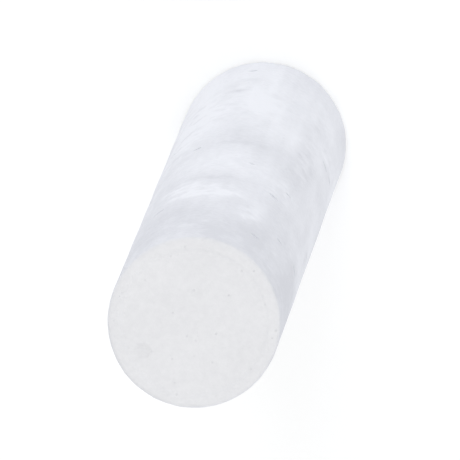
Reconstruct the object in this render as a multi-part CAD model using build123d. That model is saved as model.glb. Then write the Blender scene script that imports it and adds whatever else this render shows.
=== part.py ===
from build123d import *
from math import atan, degrees
import os
from typing import NamedTuple

# A blackboard chalk stick, cast in plaster of Paris in an upright metal mould.
# The slurry is poured in at the open top, scraped level, and the set stick is
# pushed out by a piston from below. So the stick is one solid with a slight
# draft: a narrow head that the piston formed, and a wide foot that was scraped.
# It stands on the foot, and +Z runs along its axis to the head. The crown, the
# side that is seen, is at -Y. All sizes are in millimetres, bearings in degrees.

# The mould's cavity
stick_length = 80.0
foot_diameter = 10.0  # at the mould's open mouth
head_diameter = 9.8  # at the piston, narrower so that the stick slides out

# The head: a rounded rim, a narrow land, then a shallow step down to the piston's face
head_edge_radius = 0.3
head_land_width = 0.4
piston_mark_depth = 0.06
piston_mark_slope = 0.15  # how far the step runs in while it goes down

# The foot: the scraped plaster's sharp rim, worn a little
foot_edge_radius = 0.2

# The bearing of the side that is seen
crown = -90.0


class Rub(NamedTuple):
    """A flat, shallow patch worn into the side where sticks knock together."""

    from_head: float
    bearing: float
    length: float
    depth: float


class Pit(NamedTuple):
    """A round hollow that an air bubble left in an end."""

    from_axis: float
    bearing: float
    width: float
    depth: float


class SidePit(NamedTuple):
    """A round hollow that an air bubble left in the side."""

    from_head: float
    bearing: float
    width: float
    depth: float


class Nick(NamedTuple):
    """A crumb lost from an end's rim."""

    bearing: float
    width: float
    depth: float


rubs = [
    Rub(from_head=21.0, bearing=crown + 12, length=3.6, depth=0.10),
    Rub(from_head=24.5, bearing=crown + 48, length=3.0, depth=0.08),
    Rub(from_head=27.0, bearing=crown + 26, length=4.4, depth=0.12),
    Rub(from_head=43.0, bearing=crown + 14, length=8.0, depth=0.12),
    Rub(from_head=66.0, bearing=crown - 10, length=6.0, depth=0.09),
]

head_pits = [
    Pit(from_axis=3.3, bearing=50.0, width=0.9, depth=0.14),
]

foot_pits = [
    Pit(from_axis=1.7, bearing=205.0, width=0.7, depth=0.30),
    Pit(from_axis=2.9, bearing=76.0, width=0.5, depth=0.22),
    Pit(from_axis=3.6, bearing=318.0, width=0.6, depth=0.25),
]

side_pits = [
    SidePit(from_head=17.5, bearing=crown + 58, width=0.9, depth=0.18),
    SidePit(from_head=34.0, bearing=crown - 110, width=1.0, depth=0.22),
    SidePit(from_head=49.0, bearing=crown + 150, width=0.8, depth=0.20),
    SidePit(from_head=58.0, bearing=crown - 52, width=0.9, depth=0.18),
]

head_nicks = [
    Nick(bearing=112.0, width=1.1, depth=0.10),
]

foot_nicks = [
    Nick(bearing=-62.0, width=1.5, depth=0.16),
    Nick(bearing=148.0, width=1.2, depth=0.12),
    Nick(bearing=231.0, width=1.8, depth=0.18),
]

foot_radius = foot_diameter / 2
head_radius = head_diameter / 2
piston_mark_radius = head_radius - head_edge_radius - head_land_width
head_face_height = stick_length - piston_mark_depth


def side_radius(height):
    """The drafted wall's radius at a height above the foot."""
    return foot_radius + (head_radius - foot_radius) * height / stick_length


def arc_radius(width, depth):
    """The radius of an arc that is this wide across its chord and this deep."""
    return (width**2 / 4 + depth**2) / (2 * depth)


def cast_blank():
    """The stick as it leaves the mould: one section turned round the axis."""
    foot_corner = (foot_radius, 0)
    head_corner = (head_radius, stick_length)
    with BuildPart() as blank:
        with BuildSketch(Plane.XZ) as section:
            with BuildLine():
                Polyline(
                    (0, 0),
                    foot_corner,
                    head_corner,
                    (piston_mark_radius, stick_length),
                    (piston_mark_radius - piston_mark_slope, head_face_height),
                    (0, head_face_height),
                    close=True,
                )
            make_face()
            fillet(section.vertices().sort_by_distance(foot_corner)[0], foot_edge_radius)
            fillet(section.vertices().sort_by_distance(head_corner)[0], head_edge_radius)
        revolve(axis=Axis.Z)
    return blank.part


def rub_cutter(rub):
    """A roller laid across the side, sunk by the rub's depth."""
    height = stick_length - rub.from_head
    roller_radius = arc_radius(rub.length, rub.depth)
    reach = side_radius(height) + roller_radius - rub.depth
    roller = Rot(X=90) * Cylinder(roller_radius, foot_diameter)
    return Rot(Z=rub.bearing) * Pos(reach, 0, height) * roller


def pit_cutter(pit, face_height, outward):
    """A ball sunk into an end face. outward is 1 at the head and -1 at the foot."""
    ball_radius = arc_radius(pit.width, pit.depth)
    centre_height = face_height + outward * (ball_radius - pit.depth)
    return Rot(Z=pit.bearing) * Pos(pit.from_axis, 0, centre_height) * Sphere(ball_radius)


def side_pit_cutter(pit):
    """A ball sunk straight into the side."""
    height = stick_length - pit.from_head
    ball_radius = arc_radius(pit.width, pit.depth)
    reach = side_radius(height) + ball_radius - pit.depth
    return Rot(Z=pit.bearing) * Pos(reach, 0, height) * Sphere(ball_radius)


def nick_cutter(nick, rim_radius, rim_height, edge_radius, outward):
    """A ball sunk on the slant into the middle of an end's rounded rim."""
    ball_radius = arc_radius(nick.width, nick.depth)
    edge_centre = Pos(rim_radius - edge_radius, 0, rim_height - outward * edge_radius)
    ball = Pos(edge_radius + ball_radius - nick.depth, 0, 0) * Sphere(ball_radius)
    return Rot(Z=nick.bearing) * edge_centre * Rot(Y=-45 * outward) * ball


def worn(blank):
    """The blank with its rubs, bubbles and nicks."""
    cutters = [rub_cutter(rub) for rub in rubs]
    cutters += [pit_cutter(pit, head_face_height, 1) for pit in head_pits]
    cutters += [pit_cutter(pit, 0, -1) for pit in foot_pits]
    cutters += [side_pit_cutter(pit) for pit in side_pits]
    for nick in head_nicks:
        cutters.append(nick_cutter(nick, head_radius, stick_length, head_edge_radius, 1))
    for nick in foot_nicks:
        cutters.append(nick_cutter(nick, foot_radius, 0, foot_edge_radius, -1))
    return blank - cutters


chalk_stick = worn(cast_blank())
chalk_stick.label = "chalk_stick"

os.makedirs("parts", exist_ok=True)
export_step(chalk_stick, "parts/chalk_stick.step")

draft_angle = degrees(atan((foot_radius - head_radius) / stick_length))
print(f"chalk stick: {len(chalk_stick.solids())} solid, {chalk_stick.volume / 1000:.3f} cc")
print(f"draft: {draft_angle:.3f} degrees a side")
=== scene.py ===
# %% [markdown]
# # A stick of blackboard chalk
#
# A chalk stick is one casting. Plaster of Paris is stirred with water, poured into an upright
# metal mould, scraped level at the top and pushed out by a piston once it has set. The stick
# that comes out is a slim cone: narrow at the head, where the piston was, and wide at the foot,
# where the plaster was scraped.
#
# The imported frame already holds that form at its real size. This lesson dresses it: a dense
# mesh that carries the casting's small marks, a plaster finish, a pale floor, soft light and a
# camera that looks down on the head. Blender works in metres, so the stick's own sizes are
# written in millimetres and multiplied by MM, while the floor, the lamps and the camera's
# distance are in metres as they stand. Bearings are degrees round the stick's axis.

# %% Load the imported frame
import math
import random
from typing import NamedTuple

import bmesh
import bpy
from mathutils import Matrix, Vector, kdtree, noise


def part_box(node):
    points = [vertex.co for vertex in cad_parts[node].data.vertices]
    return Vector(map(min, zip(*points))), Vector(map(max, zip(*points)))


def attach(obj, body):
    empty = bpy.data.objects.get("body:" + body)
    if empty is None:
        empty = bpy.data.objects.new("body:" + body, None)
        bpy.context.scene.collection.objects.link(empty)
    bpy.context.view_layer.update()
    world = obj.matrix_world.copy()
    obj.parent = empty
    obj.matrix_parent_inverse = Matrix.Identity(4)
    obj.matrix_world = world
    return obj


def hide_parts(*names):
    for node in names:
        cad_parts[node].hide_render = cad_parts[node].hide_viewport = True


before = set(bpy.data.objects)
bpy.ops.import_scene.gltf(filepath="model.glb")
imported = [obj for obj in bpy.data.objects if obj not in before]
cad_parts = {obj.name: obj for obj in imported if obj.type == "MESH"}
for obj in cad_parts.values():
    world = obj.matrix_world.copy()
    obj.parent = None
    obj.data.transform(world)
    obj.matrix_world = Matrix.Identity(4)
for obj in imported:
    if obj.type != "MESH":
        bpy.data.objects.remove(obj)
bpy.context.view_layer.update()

MM = 0.001
low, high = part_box("chalk_stick")
stick_length = high.z - low.z
foot_radius = (high.x - low.x) / 2
print(f"frame: {stick_length / MM:.1f} mm long, {2 * foot_radius / MM:.2f} mm across the foot")

# %% [markdown]
# ## The casting's section
#
# A turned form is described by half of its section, so the mesh starts as a wire in the XZ
# plane: foot, drafted wall, rounded head rim, a narrow land, and the step down to the face that
# the piston left. It could also be drawn as a cylinder primitive with its rims bevelled, but a
# wire keeps each corner's size in plain sight, and its edges can be divided by length before
# they are spun, which gives cells of an even size.

# %% Sizes of the casting
head_to_foot = 0.98  # the mould's draft, as the head's width to the foot's
head_radius = head_to_foot * foot_radius
head_edge_radius = 0.3 * MM
head_land_width = 0.4 * MM
piston_mark_depth = 0.06 * MM
piston_mark_slope = 0.15 * MM  # how far the step runs in while it goes down
step_edge_radius = 0.04 * MM
foot_edge_radius = 0.2 * MM
piston_mark_radius = head_radius - head_edge_radius - head_land_width
head_face_height = stick_length - piston_mark_depth
print(f"draft: {(foot_radius - head_radius) / MM:.2f} mm over the length")

# %% Draw the half section
casting = bmesh.new()
foot_corner = casting.verts.new((foot_radius, 0, 0))
head_corner = casting.verts.new((head_radius, 0, stick_length))
step_top = casting.verts.new((piston_mark_radius, 0, stick_length))
step_bottom = casting.verts.new((piston_mark_radius - piston_mark_slope, 0, head_face_height))
section = [
    casting.verts.new((0, 0, 0)),
    foot_corner,
    head_corner,
    step_top,
    step_bottom,
    casting.verts.new((0, 0, head_face_height)),
]
for start, end in zip(section, section[1:]):
    casting.edges.new((start, end))


def round_corner(corner, radius, segments):
    """Round one corner of the wire with an arc."""
    bmesh.ops.bevel(
        casting,
        geom=[corner],
        offset=radius,
        offset_type="OFFSET",
        affect="VERTICES",
        segments=segments,
        profile=0.5,
        material=-1,
    )


round_corner(foot_corner, foot_edge_radius, segments=4)
round_corner(head_corner, head_edge_radius, segments=6)
round_corner(step_top, step_edge_radius, segments=2)
round_corner(step_bottom, step_edge_radius, segments=2)
print(f"section: {len(casting.edges)} edges")

# %% Divide the section
wall_cell = 0.24 * MM
end_cell = 0.125 * MM
steepness = 0.9  # an edge that rises by more than this share of its length is wall


def divide(edge):
    """Cut one edge of the wire into pieces of about a cell."""
    length = edge.calc_length()
    rise = abs(edge.verts[0].co.z - edge.verts[1].co.z)
    cell = wall_cell if rise > steepness * length else end_cell
    cuts = round(length / cell) - 1
    if cuts > 0:
        bmesh.ops.subdivide_edges(casting, edges=[edge], cuts=cuts)


for edge in list(casting.edges):
    divide(edge)
print(f"divided section: {len(casting.edges)} edges")

# %% Spin it round the axis
spin_steps = 220
merge_distance = 0.001 * MM
bmesh.ops.spin(
    casting,
    geom=casting.verts[:] + casting.edges[:],
    cent=(0, 0, 0),
    axis=(0, 0, 1),
    angle=2 * math.pi,
    steps=spin_steps,
    use_merge=True,
)
bmesh.ops.remove_doubles(casting, verts=casting.verts[:], dist=merge_distance)
bmesh.ops.recalc_face_normals(casting, faces=casting.faces[:])
casting.normal_update()
closed = all(edge.is_manifold for edge in casting.edges)
print(f"casting: {len(casting.verts)} vertices, closed: {closed}")

# %% [markdown]
# ## Loose powder, and painted light and shade
#
# A stick is rubbed whenever it is moved, and the powder that comes off settles on the skin
# again. It is whiter than the bare plaster, so it shows as soft patches, as streaks along the
# stick and as short bands across it. A texture alone would put them anywhere. Here each vertex
# keeps a number, 0 for bare and 1 for covered, which the material reads further on, and smudges
# with a place and a size of their own are wiped over it where the photograph has them. The same
# number also carries painted light and shade: it is lower towards the head's end and in the
# hollows, and a few smudges are painted highlight and shade. A second number says how much of
# the vertex belongs to the wall, as the end faces are calmer.

# %% Start with a smooth dusting, and painted light along the stick
powder_and_painted_light = casting.verts.layers.float.new("powder_and_painted_light")
wall_share = casting.verts.layers.float.new("wall_share")
# The wall's number rises from the head's end to the foot's. Part of the rise is less powder where
# the stick is held, and part is painted light: darker towards the head's end and lighter towards
# the foot's, as if the light fell off towards the head.
head_end_powder_and_shade = 0.36
foot_end_powder_and_light = 0.72
end_face_powder = 0.24
for vert in casting.verts:
    vert[wall_share] = 1 - abs(vert.normal.z)
    to_head = vert.co.z / stick_length
    wall_powder_and_light = foot_end_powder_and_light + (head_end_powder_and_shade - foot_end_powder_and_light) * to_head
    vert[powder_and_painted_light] = end_face_powder + (wall_powder_and_light - end_face_powder) * vert[wall_share]
print(f"powder: {head_end_powder_and_shade} at the head's end to {foot_end_powder_and_light} at the foot's")

# %% Find places and unevenness on the stick
octave_step = 2.0  # each octave's lumps are half as wide as the last one's
octave_fading = 1.0  # and half as strong


def on_stick(from_axis, bearing, height):
    """A place given by its distance from the axis, its bearing and its height."""
    turn = math.radians(bearing)
    return Vector((from_axis * math.cos(turn), from_axis * math.sin(turn), height))


def unevenness(place, width, length, octaves):
    """Smooth noise from 0 to 1, with lumps of this width across the stick and length along it."""
    scaled = Vector((place.x / width, place.y / width, place.z / length))
    lumps = noise.fractal(scaled, octave_fading, octave_step, octaves)
    return min(1.0, max(0.0, 0.5 + 0.5 * lumps))


# %% Wipe a smudge
class Smudge(NamedTuple):
    """A soft patch where powder was added or taken; a few are painted light and shade. Its sizes
    are in millimetres.
    """

    from_head: float
    bearing: float
    length: float
    width: float
    change: float
    raggedness: float = 1.5  # 0 is an even patch


smudge_falloff = 1.4  # a higher one gives a sharper edge
smudge_end = 2.0  # in half lengths from the middle, where it has faded out
faintest_smudge = 0.02
lump_width, lump_length = 0.8 * MM, 1.6 * MM


def wipe(smudge):
    """Add or take powder in one patch of the wall; some patches are painted light and shade."""
    height = stick_length - smudge.from_head * MM
    half_length = 0.5 * smudge.length * MM
    half_width = 0.5 * smudge.width * MM
    centre = on_stick(1, smudge.bearing, 0)
    for vert in casting.verts:
        along = (vert.co.z - height) / half_length
        if abs(along) > smudge_end:
            continue
        spot = Vector((vert.co.x, vert.co.y, 0))
        across = centre.angle(spot, 0.0) * foot_radius / half_width
        fade = math.exp(-smudge_falloff * (along**2 + across**2))
        if fade > faintest_smudge:
            lumps = unevenness(vert.co, lump_width, lump_length, octaves=3)
            broken = (2 * lumps) ** smudge.raggedness
            vert[powder_and_painted_light] += smudge.change * fade * broken * vert[wall_share]


# %% Smudge the side that the photograph shows
crown = -90.0  # the bearing of that side
all_round = 60.0  # a patch of this width still has most of its strength on the far side
seen_smudges = [
    # painted shade: the wall darker all round towards the head's end, as if less light reached it
    Smudge(from_head=5, bearing=crown, length=20, width=all_round, change=-0.33, raggedness=0.5),
    Smudge(from_head=14.5, bearing=crown - 9, length=9, width=1.8, change=0.45),
    # The next three lie on the rubs at 21, 24.5 and 27 mm. They are partly powder and partly
    # painted light: a painted highlight on the two lighter ones and painted shade on the darker
    # one, on the rubs' slopes.
    Smudge(from_head=20.2, bearing=crown + 24, length=4.6, width=4.0, change=0.75, raggedness=2.2),
    Smudge(from_head=24.5, bearing=crown + 47, length=5, width=2.4, change=0.5, raggedness=2.2),
    Smudge(from_head=26.5, bearing=crown + 30, length=2.6, width=4.0, change=-0.25),
    Smudge(from_head=33, bearing=crown + 14, length=9, width=6, change=0.12),
    Smudge(from_head=32, bearing=crown - 28, length=14, width=2.4, change=0.25),
    # On the rub at 43 mm: partly powder, partly painted shade on the rub's slope.
    Smudge(from_head=43, bearing=crown + 20, length=6, width=6, change=-0.15),
    Smudge(from_head=61, bearing=crown + 12, length=12, width=2.0, change=0.35),
    Smudge(from_head=59, bearing=crown + 47, length=9, width=4.0, change=0.4),
    Smudge(from_head=67, bearing=crown + 30, length=12, width=2.4, change=-0.35),
    # painted light: the wall lighter all round towards the foot's end
    Smudge(from_head=62, bearing=crown, length=18, width=all_round, change=0.15, raggedness=0.5),
    Smudge(from_head=56, bearing=crown + 62, length=46, width=4.0, change=0.35),
    Smudge(from_head=52, bearing=crown - 32, length=44, width=1.8, change=-0.3),
    Smudge(from_head=61, bearing=crown - 50, length=6, width=2.0, change=0.3),
]
for smudge in seen_smudges:
    wipe(smudge)
print(f"smudges on the side that the photograph shows: {len(seen_smudges)}")

# %% Smudge the hidden side too
# The photograph doesn't show this side, so it gets smudges of the same kinds and sizes.
hidden_smudges = [
    Smudge(from_head=15, bearing=crown - 112, length=5, width=4.0, change=0.4),
    Smudge(from_head=23, bearing=crown + 160, length=9, width=5.0, change=-0.3),
    Smudge(from_head=34, bearing=crown - 150, length=3.5, width=4.5, change=0.45),
    Smudge(from_head=47, bearing=crown + 118, length=24, width=2.0, change=0.3),
    Smudge(from_head=55, bearing=crown - 120, length=7, width=6.0, change=-0.3),
    Smudge(from_head=66, bearing=crown + 170, length=14, width=2.6, change=0.35),
]
for smudge in hidden_smudges:
    wipe(smudge)
print(f"smudges on the hidden side: {len(hidden_smudges)}")

# %% [markdown]
# ## Marks from the mould
#
# Plaster copies whatever it touches. The wall keeps fine lines along the stick, from sliding
# out of the mould, over a slow unevenness from the metal. The head is smooth, as the piston
# was. The foot keeps the scraper's lines. All of these are less than the thickness of a hair,
# so they could be bump alone, but then the edge of the stick would stay ruler straight and the
# exported mesh would be bare. So each vertex is sunk along its normal by a few hundredths of a
# millimetre, by noise measured in real millimetres, and only the powder's grain and the finest
# pores are left to bump.

# %% Depths of the mould marks
wave_depth, wave_size = 0.05 * MM, 9 * MM
mottle_depth, mottle_width, mottle_length = 0.018 * MM, 1.8 * MM, 9 * MM
draw_depth, draw_width, draw_length = 0.016 * MM, 0.5 * MM, 18 * MM
piston_depth, piston_size = 0.006 * MM, 2.5 * MM
scrape_depth, scrape_pitch, scrape_length = 0.05 * MM, 0.42 * MM, 6 * MM
scrape_wander, wander_size = 0.35, 2.5 * MM
scrape_layer = 3.7  # the layer of the noise that the lines are taken from
crumb_depth, crumb_size = 0.07 * MM, 0.7 * MM
rim_width = 0.7 * MM


def scrape_lines(place):
    """The scraper's lines, which run along X across the foot and wander a little."""
    wander = scrape_wander * noise.noise(place / wander_size)
    across = Vector((place.x / scrape_length, place.y / scrape_pitch + wander, scrape_layer))
    return 0.5 + 0.5 * noise.noise(across)


def rim_share(place):
    """1 on the two rims and 0 further than a rim's width from them."""
    from_axis = math.hypot(place.x, place.y)
    to_wall = abs(foot_radius - from_axis) / rim_width
    to_end = min(place.z, stick_length - place.z) / rim_width
    return max(0.0, 1 - to_wall) * max(0.0, 1 - to_end)


# %% Sink the mould marks
def mark_depth(place, normal):
    """How far the skin lies under the true form."""
    on_wall = 1 - abs(normal.z)
    on_head_face = max(0.0, normal.z)
    on_foot = max(0.0, -normal.z)
    depth = wave_depth * unevenness(place, wave_size, wave_size, octaves=1) * on_wall
    depth += mottle_depth * unevenness(place, mottle_width, mottle_length, octaves=3) * on_wall
    depth += draw_depth * unevenness(place, draw_width, draw_length, octaves=1) * on_wall
    depth += piston_depth * unevenness(place, piston_size, piston_size, octaves=2) * on_head_face
    depth += scrape_depth * scrape_lines(place) * on_foot
    depth += crumb_depth * unevenness(place, crumb_size, crumb_size, octaves=3) * rim_share(place)
    return depth


sunk = [vert.co - vert.normal * mark_depth(vert.co, vert.normal) for vert in casting.verts]
for vert, place in zip(casting.verts, sunk):
    vert.co = place
casting.normal_update()
print(f"mould marks: up to {(wave_depth + mottle_depth + draw_depth) / MM:.3f} mm on the wall")

# %% [markdown]
# ## Wear
#
# Chalk is soft, so knocks in the box rub shallow flats into its side and take crumbs off its
# rims, and air bubbles leave small round hollows. Each could be cut with a Boolean, which would
# leave the cut's own coarse faces. Pressing is simpler here: a roller or a ball is held against
# the skin, and each vertex inside it moves to its surface. The rubs, the pits and the nicks lie
# where the frame's solid has them. Smaller pinholes, which the solid leaves out, are strewn over
# the side by a seeded draw, so that each run gives the same ones.

# %% Press a roller into the side
def wall_radius(height):
    """The drafted wall's radius at a height above the foot."""
    return foot_radius + (head_radius - foot_radius) * height / stick_length


def arc_radius(width, depth):
    """The radius of an arc that is this wide across its chord and this deep."""
    return (width**2 / 4 + depth**2) / (2 * depth)


def press_roller(centre, along, radius):
    """Push each vertex inside a roller, which lies along a direction, out to its surface."""
    moved = 0
    for vert in casting.verts:
        offset = vert.co - centre
        offset -= along * offset.dot(along)
        if offset.length < radius:
            vert.co += offset * (radius / offset.length - 1)
            moved += 1
    return moved


# %% Rub the side
class Rub(NamedTuple):
    """A flat, shallow patch worn into the side. Its sizes are in millimetres."""

    from_head: float
    bearing: float
    length: float
    depth: float


quarter_turn = 90.0


def press_rub(rub):
    """Press one rub into the side. Gives how many vertices moved."""
    height = stick_length - rub.from_head * MM
    radius = arc_radius(rub.length, rub.depth) * MM
    centre = on_stick(wall_radius(height) + radius - rub.depth * MM, rub.bearing, height)
    across = on_stick(1, rub.bearing + quarter_turn, 0)
    return press_roller(centre, across, radius)


rubs = [
    Rub(from_head=21.0, bearing=crown + 12, length=3.6, depth=0.10),
    Rub(from_head=24.5, bearing=crown + 48, length=3.0, depth=0.08),
    Rub(from_head=27.0, bearing=crown + 26, length=4.4, depth=0.12),
    Rub(from_head=43.0, bearing=crown + 14, length=8.0, depth=0.12),
    Rub(from_head=66.0, bearing=crown - 10, length=6.0, depth=0.09),
]
rubbed = sum(press_rub(rub) for rub in rubs)
print(f"rubs: {rubbed} vertices moved")

# %% List the hollows in the side
class SidePit(NamedTuple):
    """A round hollow that an air bubble left in the side. Its sizes are in millimetres."""

    from_head: float
    bearing: float
    width: float
    depth: float


side_pits = [
    SidePit(from_head=17.5, bearing=crown + 58, width=0.9, depth=0.18),
    SidePit(from_head=34.0, bearing=crown - 110, width=1.0, depth=0.22),
    SidePit(from_head=49.0, bearing=crown + 150, width=0.8, depth=0.20),
    SidePit(from_head=58.0, bearing=crown - 52, width=0.9, depth=0.18),
]
pinhole_count = 26
pinhole_seed = 7
narrowest_pinhole, widest_pinhole = 0.35, 0.7  # in millimetres
first_pinhole, last_pinhole = 4, 76  # in millimetres from the head
pinhole_depth_share = 0.42  # of its width
full_turn = 360.0
luck = random.Random(pinhole_seed)
for _ in range(pinhole_count):
    width = luck.uniform(narrowest_pinhole, widest_pinhole)
    from_head = luck.uniform(first_pinhole, last_pinhole)
    bearing = luck.uniform(0, full_turn)
    side_pits.append(SidePit(from_head, bearing, width, pinhole_depth_share * width))
print(f"hollows in the side: {len(side_pits)}")

# %% Refine the skin where the hollows open
def find_places():
    """A search tree of the casting's vertices as they are now."""
    casting.verts.ensure_lookup_table()
    places = kdtree.KDTree(len(casting.verts))
    for index, vert in enumerate(casting.verts):
        places.insert(vert.co, index)
    places.balance()
    return places


patch_share = 0.6  # how far a finer patch reaches, as a share of its hollow's width
cuts_per_edge = 2
skin_places = find_places()
casting.edges.index_update()
casting.edges.ensure_lookup_table()
refined = set()
for pit in side_pits:
    height = stick_length - pit.from_head * MM
    mouth = on_stick(wall_radius(height), pit.bearing, height)
    reach = patch_share * pit.width * MM + wall_cell
    near = {casting.verts[index] for _, index, _ in skin_places.find_range(mouth, reach)}
    for vert in near:
        refined.update(edge.index for edge in vert.link_edges if edge.other_vert(vert) in near)
patch_edges = [casting.edges[index] for index in sorted(refined)]
bmesh.ops.subdivide_edges(casting, edges=patch_edges, cuts=cuts_per_edge, use_grid_fill=True)
# the faces next to a finer patch have extra corners now, so they are made into triangles
many_sided = [face for face in casting.faces if len(face.verts) > 4]
bmesh.ops.triangulate(casting, faces=many_sided, ngon_method="BEAUTY")
print(f"refined: {len(patch_edges)} edges cut, {len(many_sided)} faces triangulated")

# %% Press a ball
skin_places = find_places()
# A hollow's vertices are set to nearly bare plaster, which is painted shade: the hollow darker, as
# if shade fell into it.
painted_hollow_shade = 0.1


def press_ball(centre, radius):
    """Push each vertex inside a ball out to its surface and paint shade on it. Gives how many
    moved.
    """
    near = skin_places.find_range(centre, radius)
    for place, index, distance in near:
        casting.verts[index].co = centre + (place - centre) * (radius / distance)
        casting.verts[index][powder_and_painted_light] = painted_hollow_shade
    return len(near)


def press_side_pit(pit):
    """Press a bubble's hollow into the side."""
    height = stick_length - pit.from_head * MM
    radius = arc_radius(pit.width, pit.depth) * MM
    centre = on_stick(wall_radius(height) + radius - pit.depth * MM, pit.bearing, height)
    return press_ball(centre, radius)


# %% Press hollows into the ends and rims
class Pit(NamedTuple):
    """A round hollow that an air bubble left in an end. Its sizes are in millimetres."""

    from_axis: float
    bearing: float
    width: float
    depth: float


class Nick(NamedTuple):
    """A crumb lost from an end's rim. Its sizes are in millimetres."""

    bearing: float
    width: float
    depth: float


def press_pit(pit, face_height, outward):
    """Press a bubble's hollow into an end. outward is 1 at the head and -1 at the foot."""
    radius = arc_radius(pit.width, pit.depth) * MM
    centre_height = face_height + outward * (radius - pit.depth * MM)
    return press_ball(on_stick(pit.from_axis * MM, pit.bearing, centre_height), radius)


def press_nick(nick, rim_radius, rim_height, edge_radius, outward):
    """Press a lost crumb's hollow into the middle of a rounded rim, at 45 degrees."""
    radius = arc_radius(nick.width, nick.depth) * MM
    slant = (edge_radius + radius - nick.depth * MM) / math.sqrt(2)
    height = rim_height + outward * (slant - edge_radius)
    return press_ball(on_stick(rim_radius - edge_radius + slant, nick.bearing, height), radius)


# %% Open the bubbles and nick the rims
head_pits = [
    Pit(from_axis=3.3, bearing=50.0, width=0.9, depth=0.14),
]
foot_pits = [
    Pit(from_axis=1.7, bearing=205.0, width=0.7, depth=0.30),
    Pit(from_axis=2.9, bearing=76.0, width=0.5, depth=0.22),
    Pit(from_axis=3.6, bearing=318.0, width=0.6, depth=0.25),
]
head_nicks = [
    Nick(bearing=112.0, width=1.1, depth=0.10),
]
foot_nicks = [
    Nick(bearing=-62.0, width=1.5, depth=0.16),
    Nick(bearing=148.0, width=1.2, depth=0.12),
    Nick(bearing=231.0, width=1.8, depth=0.18),
]
hollowed = sum(press_pit(pit, face_height=head_face_height, outward=1) for pit in head_pits)
hollowed += sum(press_pit(pit, face_height=0, outward=-1) for pit in foot_pits)
hollowed += sum(press_side_pit(pit) for pit in side_pits)
for nick in head_nicks:
    hollowed += press_nick(nick, head_radius, stick_length, head_edge_radius, outward=1)
for nick in foot_nicks:
    hollowed += press_nick(nick, foot_radius, 0, foot_edge_radius, outward=-1)
print(f"bubbles and nicks: {hollowed} vertices moved")

# %% Make the stick an object of the frame
skin = bpy.data.meshes.new("cast_chalk_stick")
casting.normal_update()
for face in casting.faces:
    face.smooth = True
casting.to_mesh(skin)
casting.free()
stick = bpy.data.objects.new("cast_chalk_stick", skin)
bpy.context.scene.collection.objects.link(stick)
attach(stick, "root")
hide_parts("chalk_stick")
triangles = sum(len(face.vertices) - 2 for face in skin.polygons)
print(f"{stick.name}: {triangles} triangles")

# %% [markdown]
# ## Set plaster
#
# Set plaster is calcium sulphate, a mass of tiny white needles with air between them. Light
# goes a little way in and comes back scattered, so it has no gloss, its edges look soft, and it
# is nearly as bright seen edge on as seen square. The finish starts from that: a pale, nearly
# neutral white, hardly any gloss, a little roughness in the body as well, and gypsum's IOR of
# 1.52. Over it go soft clouds of loose powder, thin smears along the stick, and a fine grain in
# the bump.

# %% Colours and one node helper
def linear(hex_colour):
    """An sRGB hex colour as the linear RGBA that Blender's nodes take, by sRGB's own curve."""
    colour = []
    for start in (1, 3, 5):
        share = int(hex_colour[start : start + 2], 16) / 255
        colour.append(share / 12.92 if share <= 0.04045 else ((share + 0.055) / 1.055) ** 2.4)
    return colour + [1.0]


def add_node(tree, kind, settings=None, values=None, links=None):
    """Add a node, set it up and link other nodes' outputs into it.

    Its inputs are given by name, or by number where several share a name.
    """
    node = tree.nodes.new(kind)
    for name, value in (settings or {}).items():
        setattr(node, name, value)
    for name, value in (values or {}).items():
        node.inputs[name].default_value = value
    for name, (source, output) in (links or {}).items():
        tree.links.new(source.outputs[output], node.inputs[name])
    return node


def new_material(name):
    """A material with an empty node tree, and that tree."""
    material = bpy.data.materials.new(name)
    material.use_nodes = True
    material.node_tree.nodes.clear()
    return material, material.node_tree


# %% Cast plaster
bare_plaster = "#E4E4E6"
powdered_plaster = "#FBFBFC"
# The wall's cool tint is partly the plaster's own and partly painted light: the cooler light that
# falls on the side and not on the end faces.
cool_wall_tint_and_light = "#FAFBFF"
noise_roughness = 0.55

plaster, plaster_tree = new_material("set_plaster_cast_in_metal")
coordinates = add_node(plaster_tree, "ShaderNodeTexCoord")
dusting_and_painted_light = add_node(plaster_tree, "ShaderNodeAttribute", settings={"attribute_name": "powder_and_painted_light"})
walling = add_node(plaster_tree, "ShaderNodeAttribute", settings={"attribute_name": "wall_share"})


def lengthwise_noise(width, length, detail):
    """Noise whose lumps have this width across the stick and this length along it."""
    scaled = add_node(
        plaster_tree,
        "ShaderNodeMapping",
        values={"Scale": (1 / width, 1 / width, 1 / length)},
        links={"Vector": (coordinates, "Object")},
    )
    return add_node(
        plaster_tree,
        "ShaderNodeTexNoise",
        values={"Scale": 1.0, "Detail": detail, "Roughness": noise_roughness},
        links={"Vector": (scaled, "Vector")},
    )


print(f"plaster: {bare_plaster} where it is bare, {powdered_plaster} under powder")

# %% Clouds, smears and grain
# The needles themselves are a few thousandths of a millimetre, far too fine to show, so the
# grain is drawn as coarse as the clumps of powder that the eye can just make out.
cloud_width, cloud_length = 3.6 * MM, 14 * MM
smear_width, smear_length = 0.7 * MM, 16 * MM
grain_size = 0.3 * MM
noise_middle = (0.5, 0.5, 0.5)

cloud = lengthwise_noise(cloud_width, cloud_length, detail=2.0)
smear = lengthwise_noise(smear_width, smear_length, detail=2.0)
grain = lengthwise_noise(grain_size, grain_size, detail=4.0)
lumps = add_node(
    plaster_tree,
    "ShaderNodeCombineXYZ",
    links={"X": (cloud, "Fac"), "Y": (smear, "Fac"), "Z": (grain, "Fac")},
)
centred = add_node(
    plaster_tree,
    "ShaderNodeVectorMath",
    settings={"operation": "SUBTRACT"},
    values={1: noise_middle},
    links={0: (lumps, "Vector")},
)
print(f"grain: {grain_size / MM:.2f} mm, clouds {cloud_width / MM:.1f} mm wide")

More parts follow.
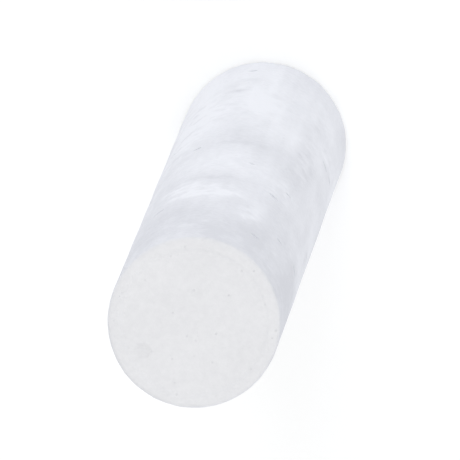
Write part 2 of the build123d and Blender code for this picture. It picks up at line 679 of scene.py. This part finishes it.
# %% Cover it with powder
# The ends took an even finish from the piston and the scraper, so clouds and smears fade there.
end_face_shares = (0.3, 0.1, 0.45)
wall_shares = (1.4, 0.5, 0.8)
shares = add_node(
    plaster_tree,
    "ShaderNodeMix",
    settings={"data_type": "VECTOR"},
    values={"A": end_face_shares, "B": wall_shares},
    links={"Factor": (walling, "Fac")},
)
patches = add_node(
    plaster_tree,
    "ShaderNodeVectorMath",
    settings={"operation": "DOT_PRODUCT"},
    links={0: (centred, "Vector"), 1: (shares, "Result")},
)
cover = add_node(
    plaster_tree,
    "ShaderNodeMath",
    settings={"operation": "ADD", "use_clamp": True},
    links={0: (patches, "Value"), 1: (dusting_and_painted_light, "Fac")},
)
white = add_node(
    plaster_tree,
    "ShaderNodeMix",
    settings={"data_type": "RGBA"},
    values={"A": linear(bare_plaster), "B": linear(powdered_plaster)},
    links={"Factor": (cover, "Value")},
)
# Lays the wall's cool tint, partly painted light, over the white.
cooled_by_tint_and_light = add_node(
    plaster_tree,
    "ShaderNodeMix",
    settings={"data_type": "RGBA", "blend_type": "MULTIPLY"},
    values={"B": linear(cool_wall_tint_and_light)},
    links={"Factor": (walling, "Fac"), "A": (white, "Result")},
)
print(f"shares of cloud, smear and grain: {wall_shares} on the wall, {end_face_shares} on the ends")

# %% Prick it with pores, and paint shade into them
# Air that didn't rise to the top leaves pores like pinpricks. They are drawn about twice as wide
# as most real ones, which would be narrower than a pixel. Their darker colour is painted shade,
# the shade that would fall into each pore; the bump sinks them as well.
pore_spacing = 0.8 * MM
pore_width = 0.2 * MM
painted_pore_shade = "#C4C6CA"
painted_pore_darkness = 0.3
nearest = add_node(
    plaster_tree,
    "ShaderNodeTexVoronoi",
    values={"Scale": 1 / pore_spacing},
    links={"Vector": (coordinates, "Object")},
)
pore = add_node(
    plaster_tree,
    "ShaderNodeMapRange",
    settings={"interpolation_type": "SMOOTHSTEP"},
    values={"From Min": 0.5 * pore_width / pore_spacing, "From Max": 0.0},
    links={"Value": (nearest, "Distance")},
)
painted_pore_shading = add_node(
    plaster_tree,
    "ShaderNodeMath",
    settings={"operation": "MULTIPLY"},
    values={1: painted_pore_darkness},
    links={0: (pore, "Result")},
)
pricked_with_painted_shade = add_node(
    plaster_tree,
    "ShaderNodeMix",
    settings={"data_type": "RGBA"},
    values={"B": linear(painted_pore_shade)},
    links={"Factor": (painted_pore_shading, "Value"), "A": (cooled_by_tint_and_light, "Result")},
)
print(f"pores: {pore_width / MM:.1f} mm wide")

# %% Finish the plaster
grain_height = 0.06 * MM
bump_strength = 0.6
pore_relief = -0.8  # a pore's floor, in heights of the grain
surface_roughness = 0.92
body_roughness = 0.3
plaster_ior = 1.52
specular_level = 0.25
relief = add_node(
    plaster_tree,
    "ShaderNodeMath",
    settings={"operation": "MULTIPLY_ADD"},
    values={1: pore_relief},
    links={0: (pore, "Result"), 2: (grain, "Fac")},
)
bump = add_node(
    plaster_tree,
    "ShaderNodeBump",
    values={"Strength": bump_strength, "Distance": grain_height},
    links={"Height": (relief, "Value")},
)
shader = add_node(
    plaster_tree,
    "ShaderNodeBsdfPrincipled",
    values={
        "Roughness": surface_roughness,
        "Diffuse Roughness": body_roughness,
        "IOR": plaster_ior,
        "Specular IOR Level": specular_level,
    },
    links={"Base Color": (pricked_with_painted_shade, "Result"), "Normal": (bump, "Normal")},
)
add_node(plaster_tree, "ShaderNodeOutputMaterial", links={"Surface": (shader, "BSDF")})
skin.materials.append(plaster)
print(f"finish: {len(plaster_tree.nodes)} nodes")

# %% [markdown]
# ## Floor and light
#
# The stick stands on a pale sheet under broad, soft light. The stick's colour has to come out
# about as it is written, so the lamps stay plain, and the white of the background is made for
# the camera alone: Light Path tells the floor and the world when a ray is seen directly, by
# reflection or through glass. Only then is the world pure white, and only then does the floor
# add what is missing up to white. The lamps reach less of the floor far away, so more is missing
# there. Near the stick it is only a small share, and so the stick's shadow still shows.

# %% Tell seen rays from lighting rays
def seen_ray(tree):
    """1 for a ray of the camera, of a reflection or through glass, and 0 for lighting rays."""
    ray = add_node(tree, "ShaderNodeLightPath")
    mirrored = add_node(
        tree,
        "ShaderNodeMath",
        settings={"operation": "MAXIMUM"},
        links={0: (ray, "Is Glossy Ray"), 1: (ray, "Is Transmission Ray")},
    )
    return add_node(
        tree,
        "ShaderNodeMath",
        settings={"operation": "MAXIMUM"},
        links={0: (ray, "Is Camera Ray"), 1: (mirrored, "Value")},
    )


# %% Lay the floor
floor_half_width = 3.0
floor_gap = 0.02 * MM  # so that the foot and the sheet don't lie in one plane
floor_mesh = bpy.data.meshes.new("floor")
sheet = bmesh.new()
bmesh.ops.create_grid(sheet, x_segments=1, y_segments=1, size=floor_half_width)
bmesh.ops.translate(sheet, verts=sheet.verts[:], vec=(0, 0, -floor_gap))
sheet.to_mesh(floor_mesh)
sheet.free()
floor = bpy.data.objects.new("floor", floor_mesh)
bpy.context.scene.collection.objects.link(floor)
print(f"floor: {2 * floor_half_width:.0f} m wide")

# %% Pale paper
paper_white = "#F5F6F7"
lift_tint = "#FFFBF2"
near_lift, far_lift = 0.17, 0.5
near_distance, far_distance = 0.08, 0.7
pale_paper, paper_tree = new_material("pale_paper_sheet")
matte = add_node(paper_tree, "ShaderNodeBsdfDiffuse", values={"Color": linear(paper_white)})
floor_coordinates = add_node(paper_tree, "ShaderNodeTexCoord")
away = add_node(
    paper_tree,
    "ShaderNodeVectorMath",
    settings={"operation": "LENGTH"},
    links={0: (floor_coordinates, "Object")},
)
missing_share = add_node(
    paper_tree,
    "ShaderNodeMapRange",
    values={
        "From Min": near_distance,
        "From Max": far_distance,
        "To Min": near_lift,
        "To Max": far_lift,
    },
    links={"Value": (away, "Value")},
)
seen_share = add_node(
    paper_tree,
    "ShaderNodeMath",
    settings={"operation": "MULTIPLY"},
    links={0: (missing_share, "Result"), 1: (seen_ray(paper_tree), "Value")},
)
lift = add_node(
    paper_tree,
    "ShaderNodeEmission",
    values={"Color": linear(lift_tint)},
    links={"Strength": (seen_share, "Value")},
)
lifted = add_node(
    paper_tree,
    "ShaderNodeAddShader",
    links={0: (matte, "BSDF"), 1: (lift, "Emission")},
)
add_node(paper_tree, "ShaderNodeOutputMaterial", links={"Surface": (lifted, "Shader")})
floor_mesh.materials.append(pale_paper)
print(f"paper: lifted by {near_lift} near the stick and {far_lift} far from it")

# %% Sky light
room_white = "#FCFDFE"
room_strength = 0.72
backdrop_white = "#FFFFFF"
world = bpy.data.worlds.new("soft_white_room")
bpy.context.scene.world = world
world.use_nodes = True
world_tree = world.node_tree
world_tree.nodes.clear()
room = add_node(
    world_tree,
    "ShaderNodeBackground",
    values={"Color": linear(room_white), "Strength": room_strength},
)
backdrop = add_node(world_tree, "ShaderNodeBackground", values={"Color": linear(backdrop_white)})
either = add_node(
    world_tree,
    "ShaderNodeMixShader",
    links={
        "Fac": (seen_ray(world_tree), "Value"),
        1: (room, "Background"),
        2: (backdrop, "Background"),
    },
)
add_node(world_tree, "ShaderNodeOutputWorld", links={"Surface": (either, "Shader")})
print(f"world: soft white at a strength of {room_strength}")

# %% Lamps
middle = Vector((0, 0, stick_length / 2))


def soft_lamp(name, place, size, power, hex_colour):
    """A square area lamp that lights the stick's middle and isn't seen itself."""
    lamp = bpy.data.lights.new(name, "AREA")
    lamp.size = size
    lamp.energy = power
    lamp.color = linear(hex_colour)[:3]
    lamp_object = bpy.data.objects.new(name, lamp)
    lamp_object.location = place
    lamp_object.rotation_euler = (middle - place).to_track_quat("-Z", "Y").to_euler()
    lamp_object.visible_camera = False
    bpy.context.scene.collection.objects.link(lamp_object)


window_place = on_stick(from_axis=0.9, bearing=crown + 28, height=0.8)
ceiling_place = on_stick(from_axis=0.15, bearing=crown, height=1.6)
far_wall_place = on_stick(from_axis=0.9, bearing=crown + 222, height=0.5)
soft_lamp("window", window_place, size=0.6, power=2.4, hex_colour="#F6F9FF")
soft_lamp("ceiling", ceiling_place, size=1.0, power=3.4, hex_colour="#FFFAF3")
soft_lamp("far_wall", far_wall_place, size=1.0, power=2.1, hex_colour="#F8FAFF")
print("lamps: window, ceiling and the far wall's pale reflection")

# %% [markdown]
# ## The camera
#
# The photograph looks almost along the stick, from the head, about eight degrees off the axis
# on the crown's side and a good metre away. The far end is then a little smaller than the head,
# and stands up and to the right of it in the picture.

# %% Place the camera
off_axis = math.radians(8.3)
lean = math.radians(21.2)
distance = 1.1
picture_size = 460  # pixels
head_width_in_picture = 175  # pixels

towards_crown = on_stick(1, crown, 0)
towards_camera = towards_crown * math.sin(off_axis) + Vector((0, 0, math.cos(off_axis)))
camera_place = Vector((0, 0, stick_length)) + towards_camera * distance
view_line = (middle - camera_place).normalized()

camera_data = bpy.data.cameras.new("camera")
camera = bpy.data.objects.new("camera", camera_data)
bpy.context.scene.collection.objects.link(camera)
bpy.context.scene.camera = camera

crown_up = (towards_crown - view_line * towards_crown.dot(view_line)).normalized()
up = Matrix.Rotation(-lean, 3, view_line) @ crown_up
right = view_line.cross(up)
camera.matrix_world = Matrix(
    (
        (right.x, up.x, -view_line.x, camera_place.x),
        (right.y, up.y, -view_line.y, camera_place.y),
        (right.z, up.z, -view_line.z, camera_place.z),
        (0, 0, 0, 1),
    )
)
head_share = head_width_in_picture / picture_size
camera_data.lens = camera_data.sensor_width * head_share * distance / (2 * head_radius)
bpy.context.scene.view_settings.view_transform = "Standard"
print(f"camera: {camera_data.lens:.0f} mm lens")
